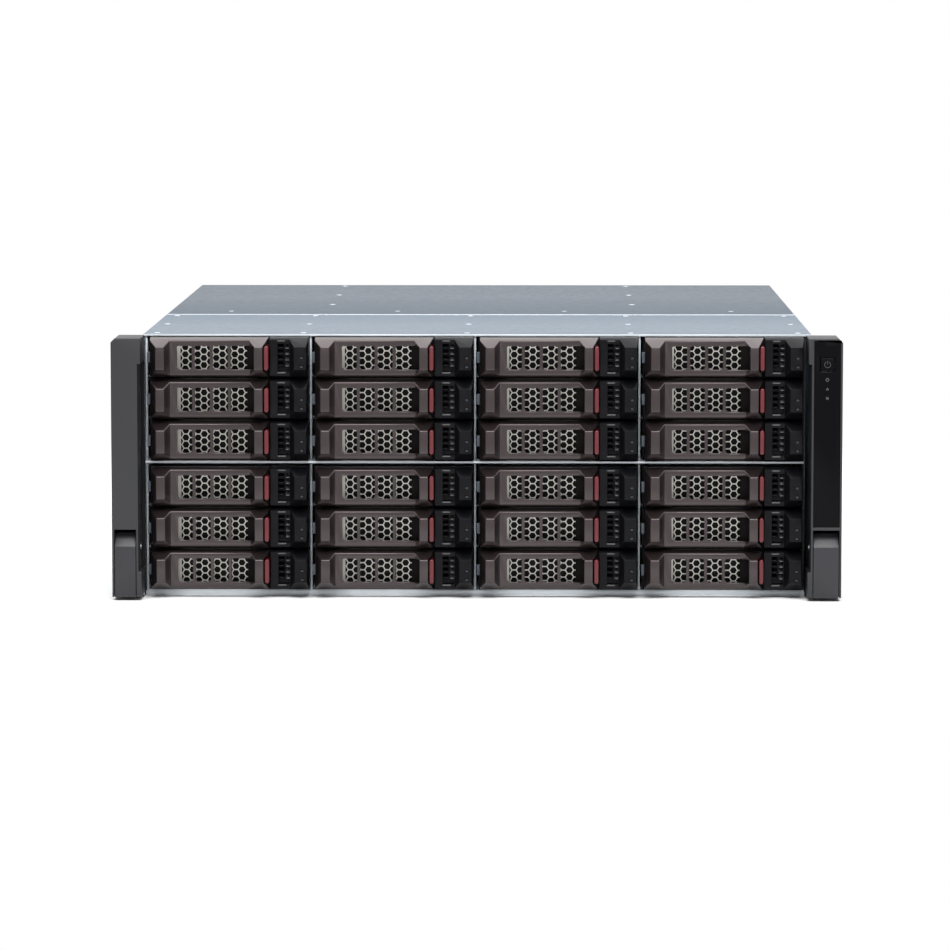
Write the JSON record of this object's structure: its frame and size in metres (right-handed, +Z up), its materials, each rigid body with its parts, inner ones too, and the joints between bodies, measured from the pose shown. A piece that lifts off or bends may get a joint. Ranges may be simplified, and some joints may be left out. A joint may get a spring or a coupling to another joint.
{
  "type": "disk shelf enclosure",
  "caption": "Four-unit rack disk shelf with sliding drive carriers that have swing-out levers, flip latches on both rack ears and a sprung power button.",
  "frame": {"origin": "middle of the chassis footprint, on the bottom face of the chassis", "axes": "+X to the right as seen from the front, -Y out of the front, +Y to the rear, +Z up"},
  "size_m": [0.4826, 0.6013, 0.175],
  "materials": {
    "zinc_steel": "galvanised sheet, soft blue-grey sheen",
    "cage_steel": "bright galvanised sheet",
    "drive_metal": null,
    "lever_plastic": "brown-grey metallic paint, satin",
    "ear_plastic": "dark grey, fine moulded grain",
    "latch_plastic": "dark grey, fine moulded grain",
    "button_plastic": "dark grey, satin",
    "board": "green circuit board",
    "fan_plastic": "black moulding",
    "module_steel": "galvanised housing"
  },
  "bodies": {
    "enclosure": {"chassis_tray": "zinc_steel", "drive_cage": "cage_steel", "top_cover_front": "zinc_steel", "top_cover_rear": "zinc_steel", "backplane": "board", "fan_wall": "fan_plastic", "rear_modules": "module_steel", "ear_left": "ear_plastic", "ear_right": "ear_plastic"},
    "carrier_r1c1": {"drive_carrier_r1c1": "drive_metal"},
    "lever_r1c1": {"carrier_lever_r1c1": "lever_plastic"},
    "carrier_r1c2": {"drive_carrier_r1c2": "drive_metal"},
    "lever_r1c2": {"carrier_lever_r1c2": "lever_plastic"},
    "carrier_r1c3": {"drive_carrier_r1c3": "drive_metal"},
    "lever_r1c3": {"carrier_lever_r1c3": "lever_plastic"},
    "carrier_r1c4": {"drive_carrier_r1c4": "drive_metal"},
    "lever_r1c4": {"carrier_lever_r1c4": "lever_plastic"},
    "carrier_r2c1": {"drive_carrier_r2c1": "drive_metal"},
    "lever_r2c1": {"carrier_lever_r2c1": "lever_plastic"},
    "carrier_r2c2": {"drive_carrier_r2c2": "drive_metal"},
    "lever_r2c2": {"carrier_lever_r2c2": "lever_plastic"},
    "carrier_r2c3": {"drive_carrier_r2c3": "drive_metal"},
    "lever_r2c3": {"carrier_lever_r2c3": "lever_plastic"},
    "carrier_r2c4": {"drive_carrier_r2c4": "drive_metal"},
    "lever_r2c4": {"carrier_lever_r2c4": "lever_plastic"},
    "carrier_r3c1": {"drive_carrier_r3c1": "drive_metal"},
    "lever_r3c1": {"carrier_lever_r3c1": "lever_plastic"},
    "carrier_r3c2": {"drive_carrier_r3c2": "drive_metal"},
    "lever_r3c2": {"carrier_lever_r3c2": "lever_plastic"},
    "carrier_r3c3": {"drive_carrier_r3c3": "drive_metal"},
    "lever_r3c3": {"carrier_lever_r3c3": "lever_plastic"},
    "carrier_r3c4": {"drive_carrier_r3c4": "drive_metal"},
    "lever_r3c4": {"carrier_lever_r3c4": "lever_plastic"},
    "carrier_r4c1": {"drive_carrier_r4c1": "drive_metal"},
    "lever_r4c1": {"carrier_lever_r4c1": "lever_plastic"},
    "carrier_r4c2": {"drive_carrier_r4c2": "drive_metal"},
    "lever_r4c2": {"carrier_lever_r4c2": "lever_plastic"},
    "carrier_r4c3": {"drive_carrier_r4c3": "drive_metal"},
    "lever_r4c3": {"carrier_lever_r4c3": "lever_plastic"},
    "carrier_r4c4": {"drive_carrier_r4c4": "drive_metal"},
    "lever_r4c4": {"carrier_lever_r4c4": "lever_plastic"},
    "carrier_r5c1": {"drive_carrier_r5c1": "drive_metal"},
    "lever_r5c1": {"carrier_lever_r5c1": "lever_plastic"},
    "carrier_r5c2": {"drive_carrier_r5c2": "drive_metal"},
    "lever_r5c2": {"carrier_lever_r5c2": "lever_plastic"},
    "carrier_r5c3": {"drive_carrier_r5c3": "drive_metal"},
    "lever_r5c3": {"carrier_lever_r5c3": "lever_plastic"},
    "carrier_r5c4": {"drive_carrier_r5c4": "drive_metal"},
    "lever_r5c4": {"carrier_lever_r5c4": "lever_plastic"},
    "carrier_r6c1": {"drive_carrier_r6c1": "drive_metal"},
    "lever_r6c1": {"carrier_lever_r6c1": "lever_plastic"},
    "carrier_r6c2": {"drive_carrier_r6c2": "drive_metal"},
    "lever_r6c2": {"carrier_lever_r6c2": "lever_plastic"},
    "carrier_r6c3": {"drive_carrier_r6c3": "drive_metal"},
    "lever_r6c3": {"carrier_lever_r6c3": "lever_plastic"},
    "carrier_r6c4": {"drive_carrier_r6c4": "drive_metal"},
    "lever_r6c4": {"carrier_lever_r6c4": "lever_plastic"},
    "latch_left": {"ear_latch_left": "latch_plastic"},
    "latch_right": {"ear_latch_right": "latch_plastic"},
    "power_button": {"power_button": "button_plastic"}
  },
  "joints": [
    {"name": "carrier_slide_r1c1", "type": "slide", "parent": "enclosure", "child": "carrier_r1c1", "axis": [0, -1, 0], "range_m": [0, 0.15]},
    {"name": "lever_hinge_r1c1", "type": "hinge", "parent": "carrier_r1c1", "child": "lever_r1c1", "pos_m": [-0.2097, -0.288, 0.1602], "axis": [0, 0, -1], "range_deg": [0, 40]},
    {"name": "carrier_slide_r1c2", "type": "slide", "parent": "enclosure", "child": "carrier_r1c2", "axis": [0, -1, 0], "range_m": [0, 0.15]},
    {"name": "lever_hinge_r1c2", "type": "hinge", "parent": "carrier_r1c2", "child": "lever_r1c2", "pos_m": [-0.1003, -0.288, 0.1602], "axis": [0, 0, -1], "range_deg": [0, 40]},
    {"name": "carrier_slide_r1c3", "type": "slide", "parent": "enclosure", "child": "carrier_r1c3", "axis": [0, -1, 0], "range_m": [0, 0.15]},
    {"name": "lever_hinge_r1c3", "type": "hinge", "parent": "carrier_r1c3", "child": "lever_r1c3", "pos_m": [0.0091, -0.288, 0.1602], "axis": [0, 0, -1], "range_deg": [0, 40]},
    {"name": "carrier_slide_r1c4", "type": "slide", "parent": "enclosure", "child": "carrier_r1c4", "axis": [0, -1, 0], "range_m": [0, 0.15]},
    {"name": "lever_hinge_r1c4", "type": "hinge", "parent": "carrier_r1c4", "child": "lever_r1c4", "pos_m": [0.1185, -0.288, 0.1602], "axis": [0, 0, -1], "range_deg": [0, 40]},
    {"name": "carrier_slide_r2c1", "type": "slide", "parent": "enclosure", "child": "carrier_r2c1", "axis": [0, -1, 0], "range_m": [0, 0.15]},
    {"name": "lever_hinge_r2c1", "type": "hinge", "parent": "carrier_r2c1", "child": "lever_r2c1", "pos_m": [-0.2097, -0.288, 0.1324], "axis": [0, 0, -1], "range_deg": [0, 40]},
    {"name": "carrier_slide_r2c2", "type": "slide", "parent": "enclosure", "child": "carrier_r2c2", "axis": [0, -1, 0], "range_m": [0, 0.15]},
    {"name": "lever_hinge_r2c2", "type": "hinge", "parent": "carrier_r2c2", "child": "lever_r2c2", "pos_m": [-0.1003, -0.288, 0.1324], "axis": [0, 0, -1], "range_deg": [0, 40]},
    {"name": "carrier_slide_r2c3", "type": "slide", "parent": "enclosure", "child": "carrier_r2c3", "axis": [0, -1, 0], "range_m": [0, 0.15]},
    {"name": "lever_hinge_r2c3", "type": "hinge", "parent": "carrier_r2c3", "child": "lever_r2c3", "pos_m": [0.0091, -0.288, 0.1324], "axis": [0, 0, -1], "range_deg": [0, 40]},
    {"name": "carrier_slide_r2c4", "type": "slide", "parent": "enclosure", "child": "carrier_r2c4", "axis": [0, -1, 0], "range_m": [0, 0.15]},
    {"name": "lever_hinge_r2c4", "type": "hinge", "parent": "carrier_r2c4", "child": "lever_r2c4", "pos_m": [0.1185, -0.288, 0.1324], "axis": [0, 0, -1], "range_deg": [0, 40]},
    {"name": "carrier_slide_r3c1", "type": "slide", "parent": "enclosure", "child": "carrier_r3c1", "axis": [0, -1, 0], "range_m": [0, 0.15]},
    {"name": "lever_hinge_r3c1", "type": "hinge", "parent": "carrier_r3c1", "child": "lever_r3c1", "pos_m": [-0.2097, -0.288, 0.1046], "axis": [0, 0, -1], "range_deg": [0, 40]},
    {"name": "carrier_slide_r3c2", "type": "slide", "parent": "enclosure", "child": "carrier_r3c2", "axis": [0, -1, 0], "range_m": [0, 0.15]},
    {"name": "lever_hinge_r3c2", "type": "hinge", "parent": "carrier_r3c2", "child": "lever_r3c2", "pos_m": [-0.1003, -0.288, 0.1046], "axis": [0, 0, -1], "range_deg": [0, 40]},
    {"name": "carrier_slide_r3c3", "type": "slide", "parent": "enclosure", "child": "carrier_r3c3", "axis": [0, -1, 0], "range_m": [0, 0.15]},
    {"name": "lever_hinge_r3c3", "type": "hinge", "parent": "carrier_r3c3", "child": "lever_r3c3", "pos_m": [0.0091, -0.288, 0.1046], "axis": [0, 0, -1], "range_deg": [0, 40]},
    {"name": "carrier_slide_r3c4", "type": "slide", "parent": "enclosure", "child": "carrier_r3c4", "axis": [0, -1, 0], "range_m": [0, 0.15]},
    {"name": "lever_hinge_r3c4", "type": "hinge", "parent": "carrier_r3c4", "child": "lever_r3c4", "pos_m": [0.1185, -0.288, 0.1046], "axis": [0, 0, -1], "range_deg": [0, 40]},
    {"name": "carrier_slide_r4c1", "type": "slide", "parent": "enclosure", "child": "carrier_r4c1", "axis": [0, -1, 0], "range_m": [0, 0.15]},
    {"name": "lever_hinge_r4c1", "type": "hinge", "parent": "carrier_r4c1", "child": "lever_r4c1", "pos_m": [-0.2097, -0.288, 0.074], "axis": [0, 0, -1], "range_deg": [0, 40]},
    {"name": "carrier_slide_r4c2", "type": "slide", "parent": "enclosure", "child": "carrier_r4c2", "axis": [0, -1, 0], "range_m": [0, 0.15]},
    {"name": "lever_hinge_r4c2", "type": "hinge", "parent": "carrier_r4c2", "child": "lever_r4c2", "pos_m": [-0.1003, -0.288, 0.074], "axis": [0, 0, -1], "range_deg": [0, 40]},
    {"name": "carrier_slide_r4c3", "type": "slide", "parent": "enclosure", "child": "carrier_r4c3", "axis": [0, -1, 0], "range_m": [0, 0.15]},
    {"name": "lever_hinge_r4c3", "type": "hinge", "parent": "carrier_r4c3", "child": "lever_r4c3", "pos_m": [0.0091, -0.288, 0.074], "axis": [0, 0, -1], "range_deg": [0, 40]},
    {"name": "carrier_slide_r4c4", "type": "slide", "parent": "enclosure", "child": "carrier_r4c4", "axis": [0, -1, 0], "range_m": [0, 0.15]},
    {"name": "lever_hinge_r4c4", "type": "hinge", "parent": "carrier_r4c4", "child": "lever_r4c4", "pos_m": [0.1185, -0.288, 0.074], "axis": [0, 0, -1], "range_deg": [0, 40]},
    {"name": "carrier_slide_r5c1", "type": "slide", "parent": "enclosure", "child": "carrier_r5c1", "axis": [0, -1, 0], "range_m": [0, 0.15]},
    {"name": "lever_hinge_r5c1", "type": "hinge", "parent": "carrier_r5c1", "child": "lever_r5c1", "pos_m": [-0.2097, -0.288, 0.0462], "axis": [0, 0, -1], "range_deg": [0, 40]},
    {"name": "carrier_slide_r5c2", "type": "slide", "parent": "enclosure", "child": "carrier_r5c2", "axis": [0, -1, 0], "range_m": [0, 0.15]},
    {"name": "lever_hinge_r5c2", "type": "hinge", "parent": "carrier_r5c2", "child": "lever_r5c2", "pos_m": [-0.1003, -0.288, 0.0462], "axis": [0, 0, -1], "range_deg": [0, 40]},
    {"name": "carrier_slide_r5c3", "type": "slide", "parent": "enclosure", "child": "carrier_r5c3", "axis": [0, -1, 0], "range_m": [0, 0.15]},
    {"name": "lever_hinge_r5c3", "type": "hinge", "parent": "carrier_r5c3", "child": "lever_r5c3", "pos_m": [0.0091, -0.288, 0.0462], "axis": [0, 0, -1], "range_deg": [0, 40]},
    {"name": "carrier_slide_r5c4", "type": "slide", "parent": "enclosure", "child": "carrier_r5c4", "axis": [0, -1, 0], "range_m": [0, 0.15]},
    {"name": "lever_hinge_r5c4", "type": "hinge", "parent": "carrier_r5c4", "child": "lever_r5c4", "pos_m": [0.1185, -0.288, 0.0462], "axis": [0, 0, -1], "range_deg": [0, 40]},
    {"name": "carrier_slide_r6c1", "type": "slide", "parent": "enclosure", "child": "carrier_r6c1", "axis": [0, -1, 0], "range_m": [0, 0.15]},
    {"name": "lever_hinge_r6c1", "type": "hinge", "parent": "carrier_r6c1", "child": "lever_r6c1", "pos_m": [-0.2097, -0.288, 0.0184], "axis": [0, 0, -1], "range_deg": [0, 40]},
    {"name": "carrier_slide_r6c2", "type": "slide", "parent": "enclosure", "child": "carrier_r6c2", "axis": [0, -1, 0], "range_m": [0, 0.15]},
    {"name": "lever_hinge_r6c2", "type": "hinge", "parent": "carrier_r6c2", "child": "lever_r6c2", "pos_m": [-0.1003, -0.288, 0.0184], "axis": [0, 0, -1], "range_deg": [0, 40]},
    {"name": "carrier_slide_r6c3", "type": "slide", "parent": "enclosure", "child": "carrier_r6c3", "axis": [0, -1, 0], "range_m": [0, 0.15]},
    {"name": "lever_hinge_r6c3", "type": "hinge", "parent": "carrier_r6c3", "child": "lever_r6c3", "pos_m": [0.0091, -0.288, 0.0184], "axis": [0, 0, -1], "range_deg": [0, 40]},
    {"name": "carrier_slide_r6c4", "type": "slide", "parent": "enclosure", "child": "carrier_r6c4", "axis": [0, -1, 0], "range_m": [0, 0.15]},
    {"name": "lever_hinge_r6c4", "type": "hinge", "parent": "carrier_r6c4", "child": "lever_r6c4", "pos_m": [0.1185, -0.288, 0.0184], "axis": [0, 0, -1], "range_deg": [0, 40]},
    {"name": "latch_hinge_left", "type": "hinge", "parent": "enclosure", "child": "latch_left", "pos_m": [-0.2325, -0.302, 0.0063], "axis": [1, 0, 0], "range_deg": [0, 40]},
    {"name": "latch_hinge_right", "type": "hinge", "parent": "enclosure", "child": "latch_right", "pos_m": [0.2312, -0.302, 0.0063], "axis": [1, 0, 0], "range_deg": [0, 40]},
    {"name": "power_press", "type": "slide", "parent": "enclosure", "child": "power_button", "axis": [0, 1, 0], "range_m": [0, 0.0015], "stiffness_N_per_m": 400}
  ]
}
